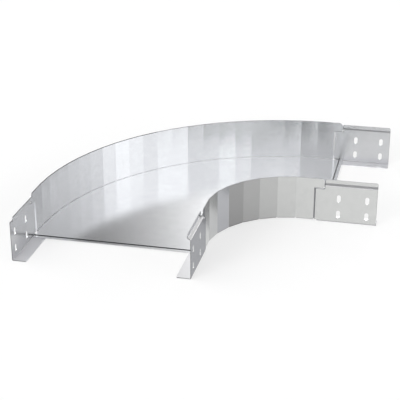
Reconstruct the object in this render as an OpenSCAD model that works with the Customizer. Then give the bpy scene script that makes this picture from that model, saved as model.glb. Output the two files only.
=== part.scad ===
// Flat 90 degree bend for a cable tray, folded from sheet steel.
// Two faceted sides stand on tabs under a quarter-ring floor. At both ends each side steps outwards
// into a coupler that takes the end of the next tray length.
// One end runs along +X and the other along -Y. The origin is the middle of the underside.

/* [Tray] */
// Clear width between the two sides
tray_w = 300; // [200:5:450]
// Height of the sides from the underside of their tabs
side_h = 80; // [76:1:120]
// Radius from the bend's centre to the cable face of the inner side
bend_r = 147; // [120:1:300]
// Thickness of the sheet
sheet_t = 1; // [0.7:0.1:1.5]
// Inside radius of the folds along the bottom
fold_r = 0.8; // [0.5:0.1:1.5]
// Room between a fold and the edge of the floor beside it
floor_play = 0.1; // [0.05:0.05:0.5]

/* [Facets] */
// Upright folds in the outer side
outer_folds = 21; // [12:1:30]
// Upright folds in the inner side
inner_folds = 7; // [5:1:10]
// Width of the tabs under the floor
tab_w = 20; // [12:1:30]
// How far the back of a tab's fold lies inside the back of its wall
tab_set = 0.04; // [0.02:0.01:0.2]
// How far the root of a tab goes up inside its wall
tab_root = 0.5; // [0.25:0.25:2]
// How far a tab ends before the corner it would share with the next one
tab_clear = 1; // [0.5:0.25:3]

/* [Couplers] */
// Straight length of a side past the end of the bend
straight_l = 16; // [12:1:30]
// Length of the step between a side and its coupler
step_l = 2.5; // [1.5:0.5:5]
// How far the step goes outwards
step_out = 1.5; // [1:0.1:3]
// Length of a coupler past the step
coupler_l = 109; // [95:1:150]
// How far the top of a coupler lies below the top of the sides
rim_drop = 2; // [1:0.5:8]
// Width of the hooked rim along the top of a coupler
rim_w = 6; // [5:0.5:10]
// How far the rim leans in from upright, in degrees
rim_lean = 17; // [10:1:35]
// Inside radius of the fold where the rim begins to lean
rim_fold_r = 2; // [1:0.5:4]
// Inside radius of the tight fold along its top
rim_lip_r = 0.6; // [0.4:0.1:1.5]
// Length of the straight lip that hangs from the tight fold
rim_lip = 4.3; // [2:0.1:6]
// Width of the flange along the bottom of a coupler
flange_w = 25; // [18:1:40]
// Length of plain edge between the step and the flange
flange_gap = 3.5; // [2:0.5:8]
// Radius of the free corners of the rim and the flange
corner_r = 2.5; // [1:0.5:6]

/* [Slit above the step] */
// Distance from the top of a side down to the slit
slit_drop = 18; // [16:0.5:22]
// Height of the slit
slit_h = 0.5; // [0.5:0.5:3]
// Length of the side's top strip past the straight
strip_l = 18.2; // [14:0.1:22]
// Gap between the top strip and the rim
strip_gap = 0.3; // [0.1:0.1:4]
// Corner radius at the top of the strip's end
strip_top_r = 9; // [1:0.5:10]
// Corner radius at the foot of the strip's end
strip_foot_r = 5; // [1:0.5:6]
// Corner radius where the slit turns up beside the rim
slit_turn_r = 3; // [1:0.5:6]

/* [Slots] */
// Width of a slot
slot_w = 7; // [5:0.5:10]
// Height of a slot from end to end
slot_h = 14; // [11:0.5:20]
// Distance from the step to the middle of the first slot
slot_x = 41.5; // [30:0.5:46]
// Distance between the slots along a coupler
slot_pitch_x = 50; // [30:1:60]
// Height of the lower slots' middle above the underside
slot_z = 16; // [13:0.5:18]
// Distance between the slots up a coupler
slot_pitch_z = 30; // [22:1:31]

/* [Floor] */
// Length of the floor past the end of the bend
floor_l = 28; // [24:1:34]
// Length of the slope down to the lowered lip
lip_slope_l = 2; // [1:0.5:3]
// Length of the lowered lip
lip_l = 6; // [3:0.5:12]

/* [Hidden] */
$fn = 64;
// Overrun that makes a cut clean
cut = 1;
// Flats in the arc of a fold
fold_steps = 6;
// Levels of the stacked sheets: flanges and lips first, then tabs, then the floor
tab_z = sheet_t;
floor_z = tab_z + sheet_t;
// Outside radius of the bottom folds
fold_out_r = fold_r + sheet_t;
// The flat wall begins halfway up the roots of its tabs
wall_z = tab_z + fold_out_r + tab_root / 2;
side_top = tab_z + side_h;
coupler_h = side_top - rim_drop;
// The rim's two folds: outside radii, the way the leaning sheet faces, and centres from the plate's back
rim_out_r = rim_fold_r + sheet_t;
lip_out_r = rim_lip_r + sheet_t;
rim_side = [-cos(rim_lean), sin(rim_lean)];
lip_centre = [rim_w - lip_out_r, coupler_h - lip_out_r];
rim_centre = [rim_out_r, (lip_centre * rim_side + lip_out_r - rim_out_r * (1 + rim_side[0])) / rim_side[1]];
rim_lip_z = lip_centre[1] - rim_lip;
slit_z = side_top - slit_drop - slit_h;
// Places along an end, from the end of the bend
step_x = straight_l + step_l;
end_x = step_x + coupler_l;
strip_x = straight_l + strip_l;
rim_x = strip_x + strip_gap;
lip_x = floor_l + lip_slope_l;
// Gap between the floor's edge and a side
floor_gap = fold_r + floor_play;
// Cable faces of the two sides
inner_r = bend_r;
outer_r = bend_r + tray_w;
// From the bend's centre to the middle of the whole bend, along X and along Y
centre = (outer_r + step_out + sheet_t - end_x) / 2;

// Corners of n equal folds through a quarter turn, on flats that lie r from the centre
function fold_points(r, n) =
    [for (k = [0 : n - 1]) let (a = 90 * (1 + (k + 0.5) / n)) r / cos(45 / n) * [cos(a), sin(a)]];

// The same line with its two straight ends, each l long past the bend
function bend_line(r, n, l) = concat([[l, r]], fold_points(r, n), [[-r, -l]]);

function reversed(v) = [for (i = [len(v) - 1 : -1 : 0]) v[i]];

// Points on a fold's arc of radius r, from the first angle to the last
function fold_arc(middle, r, angles, steps) =
    [for (i = [0 : steps]) let (a = angles[0] + (angles[1] - angles[0]) * i / steps)
        middle + r * [cos(a), sin(a)]];

// Moves the bend's centre from the origin, so that the whole bend is centred there
module placed() translate([centre, -centre, 0]) children();

// A shape on the +X end and its mirror image on the -Y end
module both_ends() {
    children();
    mirror([1, 1, 0]) children();
}

// A section in Y and Z carried along X
module along_x(x0, x1) translate([x0, 0, 0]) rotate([90, 0, 90]) linear_extrude(x1 - x0) children();

// An outline in X and Z carried along Y
module along_y(y0, y1) translate([0, y1, 0]) rotate([90, 0, 0]) linear_extrude(y1 - y0) children();

// What is cut away outside a round corner, with the plate at -X and +Y of the origin
module corner_waste(r) difference() {
    translate([-r, -cut]) square([r + cut, r + cut]);
    translate([-r, r]) circle(r);
}

// Section of a coupler: flange, plate, leaning rim and hanging lip, with the plate's back on Y = 0
module coupler_section() polygon(concat(
    [[flange_w, sheet_t], [flange_w, 0]],
    fold_arc(fold_out_r * [1, 1], fold_out_r, [270, 180], fold_steps),
    fold_arc(rim_centre, rim_out_r, [180, 180 - rim_lean], fold_steps),
    fold_arc(lip_centre, lip_out_r, [180 - rim_lean, 0], fold_steps),
    [[rim_w, rim_lip_z], [rim_w - sheet_t, rim_lip_z]],
    fold_arc(lip_centre, rim_lip_r, [0, 180 - rim_lean], fold_steps),
    fold_arc(rim_centre, rim_fold_r, [180 - rim_lean, 180], fold_steps),
    fold_arc(fold_out_r * [1, 1], fold_r, [180, 270], fold_steps)));

// An upright slot with round ends, in X and Z
module slot() {
    straight = slot_h - slot_w;
    square([slot_w, straight], center = true);
    for (s = [-1, 1]) translate([0, s * straight / 2]) circle(d = slot_w);
}

// The slit and the gap beside the rim, in X and Z
module slit() translate([rim_x, slit_z]) difference() {
    length = rim_x - straight_l;
    translate([-length, 0]) square([length, side_h]);
    corner_waste(slit_turn_r);
}

// A coupler with its back on Y = 0
module coupler() difference() {
    along_x(step_x, end_x) coupler_section();
    along_y(-cut, flange_w + cut) slit();
    along_y(-cut, sheet_t + cut)
        for (i = [0, 1], j = [0, 1])
            translate([step_x + slot_x + i * slot_pitch_x, slot_z + j * slot_pitch_z]) slot();
    translate([step_x - cut, -cut, -cut]) cube([flange_gap + cut, flange_w + 2 * cut, wall_z + cut]);
    translate([end_x, flange_w, -cut]) mirror([0, 1, 0])
        linear_extrude(sheet_t + 2 * cut) corner_waste(corner_r);
    along_y(rim_w / 2, rim_w + cut) translate([end_x, rim_lip_z]) corner_waste(corner_r);
}

// The side's top strip, which runs on past the step
module strip() {
    height = side_top - slit_z - slit_h;
    translate([straight_l, 0, slit_z + slit_h]) along_y(step_out, step_out + sheet_t) difference() {
        square([strip_l, height]);
        translate([strip_l, 0]) corner_waste(strip_foot_r);
        translate([strip_l, height]) mirror([0, 1]) corner_waste(strip_top_r);
    }
}

// The step from the side out to the coupler, with a round relief at its foot
module step() difference() {
    translate([0, 0, wall_z]) linear_extrude(slit_z - wall_z)
        polygon([[straight_l, step_out], [step_x, 0], [step_x, sheet_t], [straight_l, step_out + sheet_t]]);
    translate([straight_l + step_l / 2, 0, wall_z]) rotate([-90, 0, 0])
        cylinder(r = step_l / 2, h = step_out + sheet_t);
}

// A tab folded in under the floor, with its back on Y = 0 and its root inside the wall above it
module tab(x0, x1) translate([0, 0, tab_z]) along_x(x0, x1) polygon(concat(
    [[sheet_t, fold_out_r + tab_root], [0, fold_out_r + tab_root]],
    fold_arc(fold_out_r * [1, 1], fold_out_r, [180, 270], fold_steps),
    [[tab_w, 0], [tab_w, sheet_t]],
    fold_arc(fold_out_r * [1, 1], fold_r, [270, 180], fold_steps)));

// One whole side. r is its cable face, and its sheet lies outside that on the outer side, where
// outward is 1, and inside it on the inner side, where outward is -1.
module side(r, folds, outward) {
    back_r = r + outward * sheet_t;
    tab_back_r = back_r - outward * tab_set;
    turn = 90 / folds;
    // The tabs of the outer side close in on each other, and those of the inner side spread
    tab_half = (outward > 0 ? r - tab_w : back_r) * tan(turn / 2) - tab_clear;
    flip = [0, (1 + outward) / 2, 0];
    translate([0, 0, wall_z]) linear_extrude(side_top - wall_z)
        polygon(concat(bend_line(r, folds, straight_l), reversed(bend_line(back_r, folds, straight_l))));
    for (k = [1 : folds - 1])
        rotate(k * turn) translate([0, tab_back_r, 0]) mirror(flip) tab(-tab_half, tab_half);
    both_ends() {
        translate([0, tab_back_r, 0]) mirror(flip) tab(-tab_half, straight_l - tab_clear);
        translate([0, back_r + outward * step_out, 0]) mirror(flip) {
            step();
            strip();
            coupler();
        }
    }
}

module outer_side() color("silver") placed() side(outer_r, outer_folds, 1);

module inner_side() color("lightgray") placed() side(inner_r, inner_folds, -1);

// The floor lies on the tabs, and its lowered lips lie on the coupler flanges
module floor_plate() color("gainsboro") placed() {
    translate([0, 0, floor_z]) linear_extrude(sheet_t) polygon(concat(
        bend_line(outer_r - floor_gap, outer_folds, floor_l),
        reversed(bend_line(inner_r + floor_gap, inner_folds, floor_l))));
    both_ends() along_y(inner_r - step_out + floor_gap, outer_r + step_out - floor_gap)
        polygon([
            [floor_l, floor_z], [floor_l, floor_z + sheet_t],
            [lip_x, tab_z + sheet_t], [lip_x + lip_l, tab_z + sheet_t],
            [lip_x + lip_l, tab_z], [lip_x, tab_z]]);
}

floor_plate();
outer_side();
inner_side();
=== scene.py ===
import math

import bmesh
import bpy
import numpy as np
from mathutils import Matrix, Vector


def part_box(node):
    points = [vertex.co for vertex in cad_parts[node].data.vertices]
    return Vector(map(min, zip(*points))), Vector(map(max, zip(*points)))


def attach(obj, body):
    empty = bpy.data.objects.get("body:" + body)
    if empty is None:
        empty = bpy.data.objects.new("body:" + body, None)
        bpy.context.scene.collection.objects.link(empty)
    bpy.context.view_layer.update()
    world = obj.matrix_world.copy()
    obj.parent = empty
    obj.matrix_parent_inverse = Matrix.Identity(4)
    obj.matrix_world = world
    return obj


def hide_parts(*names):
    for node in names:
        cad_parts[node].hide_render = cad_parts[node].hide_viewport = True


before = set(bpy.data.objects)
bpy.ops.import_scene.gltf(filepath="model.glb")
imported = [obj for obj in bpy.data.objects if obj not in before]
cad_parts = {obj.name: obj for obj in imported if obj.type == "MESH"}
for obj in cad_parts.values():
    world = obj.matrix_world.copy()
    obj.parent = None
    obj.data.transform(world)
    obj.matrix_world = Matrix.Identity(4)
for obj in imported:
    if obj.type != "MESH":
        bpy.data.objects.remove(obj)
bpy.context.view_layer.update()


# Floor plate
# A flat quarter ring of bright zinc-coated sheet steel, 1 mm thick, sheared from a cold-rolled coil.
# It lies on the tabs of both sides, and a lowered lip at each end lies on the flanges of the couplers.


def linear(hex_colour):
    """The linear colour of an sRGB hex value: c / 12.92 up to 0.04045, and
    ((c + 0.055) / 1.055) ** 2.4 above."""
    c = np.array([int(hex_colour[i:i + 2], 16) for i in (1, 3, 5)]) / 255
    return (*np.where(c <= 0.04045, c / 12.92, ((c + 0.055) / 1.055) ** 2.4).tolist(), 1.0)


def add(tree, kind, sockets=None, **settings):
    """Adds a node with its settings. A socket's value is a plain value, the output that feeds it, or
    the node that does, with its first output in use."""
    node = tree.nodes.new(kind)
    for name, value in settings.items():
        setattr(node, name, value)
    for socket, value in (sockets or {}).items():
        if isinstance(value, bpy.types.Node):
            value = next(output for output in value.outputs if output.enabled)
        if isinstance(value, bpy.types.NodeSocket):
            tree.links.new(value, node.inputs[socket])
        else:
            node.inputs[socket].default_value = value
    return node


def zinc_coated_sheet(name, stretch, roughness, tones):
    """Bright zinc coating on cold-rolled steel: a grey half-mirror metal that blurs what it reflects.
    The rolls leave faint lines along the sheet, the zinc sets in flat crystals that differ a little in
    tone and gloss, and the sheet is never quite flat. stretch scales the lines along X, Y and Z.
    Returns the material, its tree and its coordinates."""
    material = bpy.data.materials.new(name)
    material.use_nodes = True
    tree = material.node_tree
    shader = tree.nodes["Principled BSDF"]
    shader.inputs["Metallic"].default_value = 1.0
    place = add(tree, "ShaderNodeTexCoord")
    along = add(tree, "ShaderNodeMapping", {"Vector": place.outputs["Object"], "Scale": stretch})

    # Roll lines on such sheet are about 0.2 mm apart; they are drawn 3 mm apart so that they show.
    roll_line_mm, roll_line_height_mm, roll_line_gloss = 3.0, 0.0015, 0.015
    lines = add(tree, "ShaderNodeTexNoise", {"Vector": along.outputs["Vector"], "Scale": 1000 / roll_line_mm,
                                             "Detail": 3.0, "Roughness": 0.6})
    crystal_mm, crystal_gloss = 9.0, 0.01
    crystals = add(tree, "ShaderNodeTexVoronoi", {"Vector": place.outputs["Object"], "Randomness": 1.0,
                                                  "Scale": 1000 / crystal_mm})
    crystal = add(tree, "ShaderNodeSeparateColor", {"Color": crystals.outputs["Color"]})
    wave_mm, wave_height_mm = 160.0, 0.02
    waves = add(tree, "ShaderNodeTexNoise", {"Vector": place.outputs["Object"], "Detail": 1.0,
                                             "Scale": 1000 / wave_mm})

    tone = add(tree, "ShaderNodeMix", {"Factor": crystal.outputs["Red"], "A": linear(tones[0]),
                                       "B": linear(tones[1])}, data_type="RGBA")
    line_gloss = add(tree, "ShaderNodeMapRange", {"Value": lines.outputs["Fac"], "From Min": 0.3,
                                                  "From Max": 0.7, "To Min": roughness - roll_line_gloss,
                                                  "To Max": roughness + roll_line_gloss})
    gloss = add(tree, "ShaderNodeMath", {0: crystal.outputs["Green"], 1: crystal_gloss, 2: line_gloss},
                operation="MULTIPLY_ADD")
    line_bump = add(tree, "ShaderNodeBump", {"Height": lines.outputs["Fac"], "Strength": 1.0,
                                             "Distance": roll_line_height_mm / 1000})
    wave_bump = add(tree, "ShaderNodeBump", {"Height": waves.outputs["Fac"], "Strength": 1.0,
                                             "Distance": wave_height_mm / 1000, "Normal": line_bump})
    tree.links.new(tone.outputs["Result"], shader.inputs["Base Color"])
    tree.links.new(gloss.outputs["Value"], shader.inputs["Roughness"])
    tree.links.new(wave_bump.outputs["Normal"], shader.inputs["Normal"])
    return material, tree, place


def paint_finish_and_light(tree, colour, roughness, *masks):
    """Gives the sheet another tone and roughness by the product of the masks, over all that it had before. It
    draws finishes of the sheet's own, and also painted light and shade.
    """
    where = masks[0]
    for mask in masks[1:]:
        where = add(tree, "ShaderNodeMath", {0: where, 1: mask}, operation="MULTIPLY")
    shader = tree.nodes["Principled BSDF"]
    for socket, kind, value in (("Base Color", "RGBA", linear(colour)), ("Roughness", "FLOAT", roughness)):
        before = shader.inputs[socket].links[0].from_socket
        mixed = add(tree, "ShaderNodeMix", {"Factor": where, "A": before, "B": value}, data_type=kind)
        tree.links.new(mixed.outputs["Result"], shader.inputs[socket])


# The roll lines are drawn along X. The slope of the lowered lip is painted dark: painted shade for the dark
# line along it. Every upright face is a sheared edge, duller than the coating; its light grey is partly
# painted light that keeps the line along the sides pale.
along_x = (0.02, 1.0, 1.0)
cool_zinc = "#CACBCD", "#CDCED0"
floor_sheet, tree, place = zinc_coated_sheet("zinc_coated_floor_sheet", along_x, 0.175, cool_zinc)
facing = add(tree, "ShaderNodeSeparateXYZ", {"Vector": place.outputs["Normal"]})
level = add(tree, "ShaderNodeMath", {0: facing.outputs["Z"]}, operation="ABSOLUTE")
steepest, flattest = 0.3, 0.96
slope = add(tree, "ShaderNodeMath", {0: level, 1: (flattest + steepest) / 2, 2: (flattest - steepest) / 2},
            operation="COMPARE")
upright = add(tree, "ShaderNodeMath", {0: level, 1: steepest}, operation="LESS_THAN")
paint_finish_and_light(tree, "#3C3D3F", 0.35, slope)
paint_finish_and_light(tree, "#C2C3C5", 0.45, upright)
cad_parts["floor_plate"].material_slots[0].material = floor_sheet


# Outer and inner side
# Each is one long strip of the same sheet, folded on a brake into flat facets. Its ends are stepped
# outwards into couplers with slots, a rim that is pressed inwards, and a flange along the bottom.

# Places along a coupler from the end of the bend, and heights over the underside, in metres.
bend_end = 0.161
step_start, step_end, rim_start, coupler_end = 0.0157, 0.0188, 0.0345, 0.1275
flange_top, fold_top, crook_fold_top, floor_top = 0.00105, 0.0022, 0.0028, 0.0032
slit_height, ledge_foot, ledge_top, rim_top = 0.06275, 0.0685, 0.0727, 0.079
wall_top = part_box("outer_side")[1].z


def press_rims(side, plate, inward):
    """A copy of a side's sheet with the rims of its couplers pressed in a step. In the frame each rim
    leans in by 17 degrees and is hooked over; here the same strip bends in steeply, runs straight, bends
    back and stands upright. A point keeps its share of its fold or flat, and its height h over the middle
    of the sheet: centre + (radius + h) * (-cos a, sin a) in a fold turned by a, and
    start + share * length * way + h * normal on a flat, as depth in from the plate's outside and height.
    plate is where that outside lies."""
    copy = bmesh.new()
    copy.from_mesh(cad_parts[side].data)
    bmesh.ops.remove_doubles(copy, verts=copy.verts, dist=0.000001)
    mesh = bpy.data.meshes.new(f"{side}_sheet")
    copy.to_mesh(mesh)
    copy.free()
    points = np.empty(3 * len(mesh.vertices))
    mesh.vertices.foreach_get("co", points)
    points = points.reshape(-1, 3)
    at_x_end = points[:, 0] > -points[:, 1]
    along = np.where(at_x_end, points[:, 0], -points[:, 1]) - bend_end
    across = np.where(at_x_end, points[:, 1], -points[:, 0])
    depth, height = 1000 * inward * (across - plate), 1000 * points[:, 2]

    # The rim in the frame, in millimetres: a fold, a leaning flat, a hook and its hanging lip.
    lean = math.radians(17)
    fold_x, fold_z, fold_radius, fold_rise = 3.0, 68.033, 2.5, 1.5
    hook_x, hook_z, hook_radius, lip = 4.4, 77.4, 1.1, 4.3
    slack = 0.01
    rim = (1000 * (along - rim_start) > -slack) & (height > fold_z - slack)
    on_fold = rim & (height < fold_z + fold_rise)
    on_hook = rim & (height > hook_z - slack)
    on_lip = rim & (depth > hook_x) & ~on_hook

    # The pressed rim: how steeply it bends in, how far, the bends' radius and the upright band's height.
    turn, step_in, bend, band = math.radians(62), 5.0, 1.0, 6.4
    sheet = 1.0
    run = (step_in - 2 * bend * (1 - math.cos(turn))) / math.sin(turn)
    rise = 2 * bend * math.sin(turn) + run * math.cos(turn)
    first_x, first_z = sheet / 2 + bend, 1000 * rim_top - band - rise
    flat_x, flat_z = first_x - bend * math.cos(turn), first_z + bend * math.sin(turn)
    back_x, back_z = sheet / 2 + step_in - bend, 1000 * rim_top - band

    angle = turn * np.arctan2(height - fold_z, fold_x - depth) / lean
    over = np.hypot(height - fold_z, fold_x - depth) - fold_radius
    fold_to = (first_x - (bend + over) * np.cos(angle), first_z + (bend + over) * np.sin(angle))
    from_x, from_z = fold_x - fold_radius * math.cos(lean), fold_z + fold_radius * math.sin(lean)
    length = (hook_z + hook_radius * math.sin(lean) - from_z) / math.cos(lean)
    share = ((depth - from_x) * math.sin(lean) + (height - from_z) * math.cos(lean)) / length
    over = (height - from_z) * math.sin(lean) - (depth - from_x) * math.cos(lean)
    flat_to = (flat_x + share * run * math.sin(turn) - over * math.cos(turn),
               flat_z + share * run * math.cos(turn) + over * math.sin(turn))
    angle = turn * np.arctan2(height - hook_z, depth - hook_x) / (math.pi - lean)
    over = np.hypot(height - hook_z, depth - hook_x) - hook_radius
    hook_to = (back_x + (bend - over) * np.cos(angle), back_z - (bend - over) * np.sin(angle))
    over = depth - hook_x - hook_radius
    lip_to = (back_x + bend - over, back_z + band * (hook_z - height) / lip)

    new_depth, new_height = np.select([~rim, on_fold, on_hook, on_lip],
                                      [(depth, height), fold_to, hook_to, lip_to], flat_to)
    new_across = plate + inward * new_depth / 1000
    points[:, 1] = np.where(rim & at_x_end, new_across, points[:, 1])
    points[:, 0] = np.where(rim & ~at_x_end, -new_across, points[:, 0])
    points[:, 2] = np.where(rim, new_height / 1000, points[:, 2])
    mesh.vertices.foreach_set("co", points.ravel())
    if "custom_normal" in mesh.attributes:
        mesh.attributes.remove(mesh.attributes["custom_normal"])
    mesh.shade_flat()
    mesh.update()
    return mesh


along_side = (0.02, 0.02, 1.0)
neutral_zinc = "#CFD0CF", "#D2D3D2"
for side, plate, inward, tones in (("outer_side", 0.2885, -1.0, cool_zinc),
                                   ("inner_side", -0.0165, 1.0, neutral_zinc)):
    sheet_mesh = press_rims(side, plate, inward)
    folded_side = bpy.data.objects.new(f"{side}_sheet", sheet_mesh)
    bpy.context.scene.collection.objects.link(folded_side)
    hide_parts(side)
    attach(folded_side, "root")
    side_sheet, tree, place = zinc_coated_sheet(f"zinc_coated_{side}_sheet", along_side, 0.21, tones)
    sheet_mesh.materials.append(side_sheet)

    # Where a point lies: its height, which half it is in, and how far it is past the end of the bend.
    point = add(tree, "ShaderNodeSeparateXYZ", {"Vector": place.outputs["Object"]})
    height = point.outputs["Z"]
    towards_y = add(tree, "ShaderNodeMath", {0: point.outputs["Y"], 1: -1.0}, operation="MULTIPLY")
    y_half = add(tree, "ShaderNodeMath", {0: towards_y, 1: point.outputs["X"]}, operation="GREATER_THAN")
    furthest = add(tree, "ShaderNodeMath", {0: point.outputs["X"], 1: towards_y}, operation="MAXIMUM")
    past_bend = add(tree, "ShaderNodeMath", {0: furthest, 1: bend_end}, operation="SUBTRACT")
    in_bend = add(tree, "ShaderNodeMath", {0: past_bend, 1: step_start}, operation="LESS_THAN")
    on_plate = add(tree, "ShaderNodeMath", {0: past_bend, 1: step_end}, operation="GREATER_THAN")
    on_rim = add(tree, "ShaderNodeMath", {0: past_bend, 1: rim_start}, operation="GREATER_THAN")

    # Which way it faces: out of the bend or into the channel, along X, and out of the coupler it is on.
    facing = add(tree, "ShaderNodeSeparateXYZ", {"Vector": place.outputs["Normal"]})
    towards_x = facing.outputs["X"]
    out_of_bend = (0.707 * inward, -0.707 * inward, 0.0)
    outness = add(tree, "ShaderNodeVectorMath", {0: place.outputs["Normal"], 1: out_of_bend},
                  operation="DOT_PRODUCT")
    outside = add(tree, "ShaderNodeMath", {0: outness, 1: 0.3}, operation="GREATER_THAN")
    inside = add(tree, "ShaderNodeMath", {0: outness, 1: -0.3}, operation="LESS_THAN")
    out_at_x_end = add(tree, "ShaderNodeMath", {0: facing.outputs["Y"], 1: -inward}, operation="MULTIPLY")
    out_at_y_end = add(tree, "ShaderNodeMath", {0: towards_x, 1: inward}, operation="MULTIPLY")
    out_at_end = add(tree, "ShaderNodeMix", {"Factor": y_half, "A": out_at_x_end, "B": out_at_y_end})
    out_of_coupler = add(tree, "ShaderNodeMath", {0: out_at_end, 1: 0.1}, operation="GREATER_THAN")

    # The rim's ledge is painted a darker grey, painted shade, with a duller gloss. On the inside the plate
    # just under the ledge is painted darker towards it: a painted shadow under the overhang.
    on_ledge = add(tree, "ShaderNodeMath", {0: height, 1: (ledge_foot + ledge_top) / 2,
                                            2: (ledge_top - ledge_foot) / 2}, operation="COMPARE")
    near_root = add(tree, "ShaderNodeMapRange", {"Value": height, "From Min": ledge_foot - 0.002,
                                                 "From Max": ledge_foot + 0.0003})
    under_ledge = add(tree, "ShaderNodeMath", {0: height, 1: ledge_foot + 0.001}, operation="LESS_THAN")
    paint_finish_and_light(tree, "#B4B4B6", 0.5, on_ledge, on_rim)
    paint_finish_and_light(tree, "#8C8D8F", 0.35, near_root, inside, under_ledge, on_rim)

    # On its outside, below the slit, the step is painted dark grey: painted shade for the dark line it makes.
    on_step = add(tree, "ShaderNodeMath", {0: past_bend, 1: (step_start + step_end) / 2,
                                           2: (step_end - step_start) / 2}, operation="COMPARE")
    under_slit = add(tree, "ShaderNodeMath", {0: height, 1: slit_height}, operation="LESS_THAN")
    paint_finish_and_light(tree, "#8A8B8D", 0.45, on_step, under_slit, out_of_coupler)

    # The facets in the crook of the inner side are painted darker as they turn towards +X, the last two less
    # so, and the coupler after them darker still. This is painted shade in the zinc, for the darker
    # surroundings that these faces reflect. Whether the real sheet is duller there, or only the light
    # differs, isn't known.
    if side == "inner_side":
        most_turned = 0.85
        turned = add(tree, "ShaderNodeMapRange", {"Value": towards_x, "From Min": 0.1, "From Max": 0.8})
        in_crook = add(tree, "ShaderNodeMath", {0: towards_x, 1: most_turned}, operation="LESS_THAN")
        paint_finish_and_light(tree, "#9D9D9D", 0.24, turned, in_crook, outside)
        less_turned = add(tree, "ShaderNodeMapRange", {"Value": towards_x, "From Min": 1.0, "From Max": 0.92})
        last_facets = add(tree, "ShaderNodeMath", {0: towards_x, 1: most_turned}, operation="GREATER_THAN")
        paint_finish_and_light(tree, "#BABBBF", 0.22, less_turned, last_facets, in_bend)
        square = add(tree, "ShaderNodeMath", {0: towards_x, 1: 0.995}, operation="GREATER_THAN")
        paint_finish_and_light(tree, "#8D8F95", 0.26, square, on_plate)

    # The flange along the bottom is painted lighter than the sheet, painted light, with a roughness of its
    # own, and the fold above it is painted darker, painted shade over its bright line. The fold under the
    # floor's edge is painted bright on the outer side, a painted highlight that keeps the line along the
    # floor pale,
    # and painted dark in the crook: painted shade.
    in_fold = add(tree, "ShaderNodeMath", {0: height, 1: fold_top}, operation="LESS_THAN")
    in_flange = add(tree, "ShaderNodeMath", {0: height, 1: flange_top}, operation="LESS_THAN")
    paint_finish_and_light(tree, "#A5A5A7", 0.45, in_fold)
    if side == "inner_side":
        paint_finish_and_light(tree, "#D4D4D6", 0.32, in_flange)
        in_crook_fold = add(tree, "ShaderNodeMath", {0: height, 1: crook_fold_top}, operation="LESS_THAN")
        paint_finish_and_light(tree, "#3C3D3F", 0.45, in_crook_fold, turned, in_crook, outside)
    else:
        paint_finish_and_light(tree, "#DADADD", 0.6, in_flange)
        under_floor = add(tree, "ShaderNodeMath", {0: height, 1: floor_top}, operation="LESS_THAN")
        paint_finish_and_light(tree, "#F6F6F8", 0.5, under_floor, in_bend)

    # Sheared and punched edges are drawn as bare, darker steel: the tops, the ends, and the slits beside the
    # steps. The bands along the slits and by the start of the rims are painted shade as well. Along the top
    # of the outer side's half towards -Y, and on the rims' tops there, the edges are painted darker still:
    # painted shade.
    edge_and_shade_band = 0.0008
    over_wall = add(tree, "ShaderNodeMath", {0: height, 1: wall_top - edge_and_shade_band}, operation="GREATER_THAN")
    at_end = add(tree, "ShaderNodeMath", {0: past_bend, 1: coupler_end - edge_and_shade_band / 2}, operation="GREATER_THAN")
    at_slit = add(tree, "ShaderNodeMath", {0: height, 1: slit_height, 2: edge_and_shade_band}, operation="COMPARE")
    by_step = add(tree, "ShaderNodeMath", {0: past_bend, 1: (step_start + rim_start) / 2,
                                           2: (rim_start - step_start) / 2}, operation="COMPARE")
    by_rim = add(tree, "ShaderNodeMath", {0: past_bend, 1: rim_start, 2: edge_and_shade_band}, operation="COMPARE")
    over_slit = add(tree, "ShaderNodeMath", {0: height, 1: slit_height}, operation="GREATER_THAN")
    at_rim_top = add(tree, "ShaderNodeMath", {0: height, 1: rim_top - edge_and_shade_band / 2}, operation="GREATER_THAN")
    paint_finish_and_light(tree, "#9A9B9D", 0.45, over_wall)
    paint_finish_and_light(tree, "#77787A", 0.45, at_end)
    paint_finish_and_light(tree, "#77787A", 0.45, at_slit, by_step)
    paint_finish_and_light(tree, "#77787A", 0.45, by_rim, over_slit)
    paint_finish_and_light(tree, "#9A9B9D", 0.45, on_rim, at_rim_top)
    if side == "outer_side":
        paint_finish_and_light(tree, "#3C3D3F", 0.5, over_wall, y_half)
        paint_finish_and_light(tree, "#3C3D3F", 0.5, on_rim, at_rim_top, y_half)


# Studio floor
# A wide sheet of matt white board, which the bend lies on. It reflects the studio's light evenly, keeps
# the bend's soft shadow, and is lifted towards white for what the eye and the metal see of it.
reach = 15.0
board_mesh = bpy.data.meshes.new("studio_floor")
corners = np.array([(-1, -1, 0), (1, -1, 0), (1, 1, 0), (-1, 1, 0)]) * reach
board_mesh.from_pydata(corners.tolist(), [], [(0, 1, 2, 3)])
board = bpy.data.objects.new("studio_floor", board_mesh)
bpy.context.scene.collection.objects.link(board)
matt_board = bpy.data.materials.new("matt_white_board")
matt_board.use_nodes = True
tree = matt_board.node_tree
tree.nodes.clear()
lift = 0.6
path = add(tree, "ShaderNodeLightPath")
seen = add(tree, "ShaderNodeMath", {0: path.outputs["Is Camera Ray"], 1: path.outputs["Is Glossy Ray"]},
           operation="MAXIMUM")
seen = add(tree, "ShaderNodeMath", {0: seen, 1: path.outputs["Is Transmission Ray"]}, operation="MAXIMUM")
share = add(tree, "ShaderNodeMath", {0: seen, 1: lift}, operation="MULTIPLY")
matt = add(tree, "ShaderNodeBsdfDiffuse", {"Color": linear("#F4F4F4")})
white = add(tree, "ShaderNodeEmission", {"Color": linear("#FFFFFF"), "Strength": 1.0})
mixed = add(tree, "ShaderNodeMixShader", {0: share, 1: matt, 2: white})
add(tree, "ShaderNodeOutputMaterial", {"Surface": mixed})
board_mesh.materials.append(matt_board)


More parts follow.
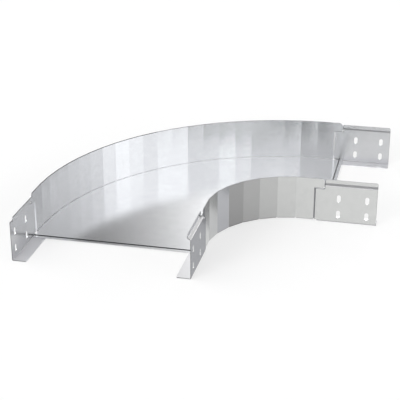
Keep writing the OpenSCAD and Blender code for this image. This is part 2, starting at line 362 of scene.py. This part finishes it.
# Studio light
# A dim room with a pale ceiling, and soft round panels set low about the bend. Where they stand, and how
# wide and strong they are, was fitted to the brightness of the metal in the photograph.
# Each panel has its azimuth from +Y towards +X, its height and its half-width in degrees, and its strength.
panels = {
    "key on the left": (-147.9, 18.0, 12.1, 10.67),
    "left back": (-82.6, 30.4, 23.0, 2.89),
    "right": (87.3, 19.9, 12.3, 3.11),
    "right, towards the front": (114.3, 24.4, 9.2, 3.39),
    "right front": (140.1, 14.5, 9.2, 4.29),
    "front": (169.9, 32.3, 9.2, 3.85),
    "back": (10.2, 18.7, 7.0, 2.82),
    "high back": (0.2, 29.4, 7.0, 6.00),
    "back, towards the left": (-6.7, 16.5, 7.0, 2.72),
    "low at the right back": (33.7, 5.3, 11.1, 6.76),
    "low on the right": (58.6, 11.9, 12.4, 2.54),
    "low at the right front": (157.5, 2.0, 9.2, 9.77),
}
ceiling_foot, ceiling_middle, ceiling_strength = 0.62, 0.90, 0.45
room = bpy.data.worlds.new("studio_room")
bpy.context.scene.world = room
room.use_nodes = True
tree = room.node_tree
background = tree.nodes["Background"]
background.inputs["Color"].default_value = linear("#FFFFFF")
way = add(tree, "ShaderNodeTexCoord").outputs["Generated"]
upward = add(tree, "ShaderNodeSeparateXYZ", {"Vector": way}).outputs["Z"]
total = add(tree, "ShaderNodeMapRange", {"Value": upward, "From Min": ceiling_foot, "To Min": 0.0,
                                         "From Max": ceiling_middle, "To Max": ceiling_strength},
            interpolation_type="SMOOTHSTEP")
for azimuth, rise, half_width, strength in panels.values():
    a, e = math.radians(azimuth), math.radians(rise)
    aim = (math.sin(a) * math.cos(e), math.cos(a) * math.cos(e), math.sin(e))
    tightness = math.log(2) / (1 - math.cos(math.radians(half_width)))
    near = add(tree, "ShaderNodeVectorMath", {0: way, 1: aim}, operation="DOT_PRODUCT")
    off = add(tree, "ShaderNodeMath", {0: near, 1: 1.0}, operation="SUBTRACT")
    fall = add(tree, "ShaderNodeMath", {0: off, 1: tightness}, operation="MULTIPLY")
    glow = add(tree, "ShaderNodeMath", {0: fall}, operation="EXPONENT")
    total = add(tree, "ShaderNodeMath", {0: glow, 1: strength, 2: total}, operation="MULTIPLY_ADD")
tree.links.new(total.outputs["Value"], background.inputs["Strength"])


# Camera
# It stands about two metres off, above the mouth of the bend, and looks down at it with a long lens.
lens = bpy.data.cameras.new("camera")
lens.sensor_width = 36
lens.lens = 101.45
camera = bpy.data.objects.new("camera", lens)
camera.location = (0.38866, -1.85533, 0.83457)
camera.rotation_euler = (math.radians(66.635), 0.0, math.radians(12.847))
bpy.context.scene.collection.objects.link(camera)
bpy.context.scene.camera = camera
bpy.context.scene.view_settings.view_transform = "Standard"
